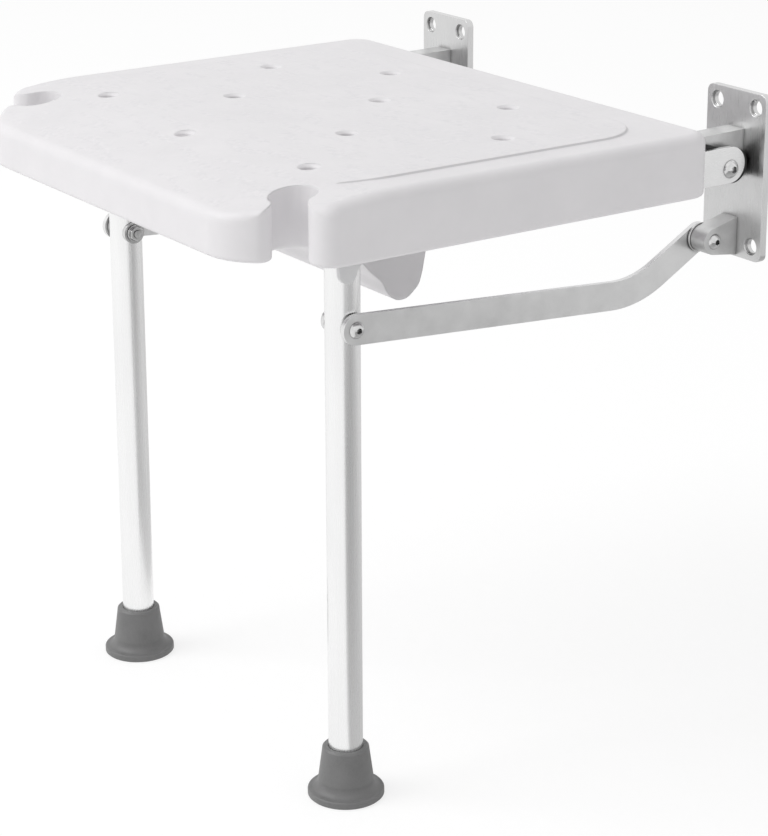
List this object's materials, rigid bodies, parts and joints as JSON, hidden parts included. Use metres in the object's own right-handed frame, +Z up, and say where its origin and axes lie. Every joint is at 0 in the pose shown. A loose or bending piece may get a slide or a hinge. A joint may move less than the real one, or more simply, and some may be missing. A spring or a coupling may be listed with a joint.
{
  "type": "fold down wall seat",
  "caption": "Fold-down wall seat with a drained moulded top, notched front corners, drop-down legs on rubber feet, swinging link bars and drilled wall plates.",
  "frame": {"origin": "centre of the wall hole pattern, on the wall plane", "axes": "+X to the right of a person who faces the wall, +Y into the wall, +Z up"},
  "size_m": [0.452, 0.447, 0.4924],
  "materials": {
    "plate_steel": "brushed",
    "bracket_steel": "satin",
    "link_steel": "satin",
    "arm_steel": "satin",
    "fastener_steel": "bright",
    "leg_aluminium": "polished",
    "white_coated_steel": "gloss coating",
    "seat_plastic": "satin with a fine grain",
    "black_nylon": "matte",
    "foot_rubber": "matte"
  },
  "bodies": {
    "wall_frame": {"wall_plate_right": "plate_steel", "wall_plate_left": "plate_steel", "plate_screws_right": "fastener_steel", "plate_screws_left": "fastener_steel", "hinge_bracket_right": "bracket_steel", "hinge_bracket_left": "bracket_steel", "bearing_pad_right": "black_nylon", "bearing_pad_left": "black_nylon", "hinge_bolt_right": "fastener_steel", "hinge_bolt_left": "fastener_steel", "hinge_nut_right": "fastener_steel", "hinge_nut_left": "fastener_steel", "link_lug_right": "bracket_steel", "link_lug_left": "bracket_steel", "lug_washer_right": "fastener_steel", "lug_washer_left": "fastener_steel", "lug_bolt_right": "fastener_steel", "lug_bolt_left": "fastener_steel", "lug_nut_right": "fastener_steel", "lug_nut_left": "fastener_steel"},
    "seat": {"seat_shell": "seat_plastic", "seat_arm_right": "arm_steel", "seat_arm_left": "arm_steel", "arm_screws_right": "fastener_steel", "arm_screws_left": "fastener_steel", "leg_hanger_right": "white_coated_steel", "leg_hanger_left": "white_coated_steel", "hanger_screws_right": "fastener_steel", "hanger_screws_left": "fastener_steel", "leg_pivot_bolt_right": "fastener_steel", "leg_pivot_bolt_left": "fastener_steel", "leg_pivot_nut_right": "fastener_steel", "leg_pivot_nut_left": "fastener_steel"},
    "leg_right": {"leg_tube_right": "leg_aluminium", "leg_cap_right": "black_nylon", "foot_right": "foot_rubber", "leg_link_bolt_right": "fastener_steel", "leg_link_spacer_right": "fastener_steel", "leg_saddle_right": "fastener_steel", "leg_link_nut_right": "fastener_steel"},
    "link_right": {"link_bar_right": "link_steel"},
    "leg_left": {"leg_tube_left": "leg_aluminium", "leg_cap_left": "black_nylon", "foot_left": "foot_rubber", "leg_link_bolt_left": "fastener_steel", "leg_link_spacer_left": "fastener_steel", "leg_saddle_left": "fastener_steel", "leg_link_nut_left": "fastener_steel"},
    "link_left": {"link_bar_left": "link_steel"}
  },
  "joints": [
    {"name": "seat_fold", "type": "hinge", "parent": "wall_frame", "child": "seat", "pos_m": [0, -0.028, 0.01], "axis": [-1, 0, 0], "range_deg": [0, 72]},
    {"name": "leg_right_fold", "type": "hinge", "parent": "seat", "child": "leg_right", "pos_m": [0.1535, -0.341, -0.007], "axis": [-1, 0, 0], "range_deg": [-72, 0]},
    {"name": "link_right_swing", "type": "hinge", "parent": "wall_frame", "child": "link_right", "pos_m": [0.1694, -0.028, -0.049], "axis": [-1, 0, 0], "range_deg": [0, 72]},
    {"name": "leg_left_fold", "type": "hinge", "parent": "seat", "child": "leg_left", "pos_m": [-0.1535, -0.341, -0.007], "axis": [-1, 0, 0], "range_deg": [-72, 0]},
    {"name": "link_left_swing", "type": "hinge", "parent": "wall_frame", "child": "link_left", "pos_m": [-0.1694, -0.028, -0.049], "axis": [-1, 0, 0], "range_deg": [0, 72]}
  ],
  "couplings": [
    {"joint": "leg_right_fold", "follows": "seat_fold", "ratio": -1},
    {"joint": "link_right_swing", "follows": "seat_fold", "ratio": 1},
    {"joint": "leg_left_fold", "follows": "seat_fold", "ratio": -1},
    {"joint": "link_left_swing", "follows": "seat_fold", "ratio": 1}
  ]
}
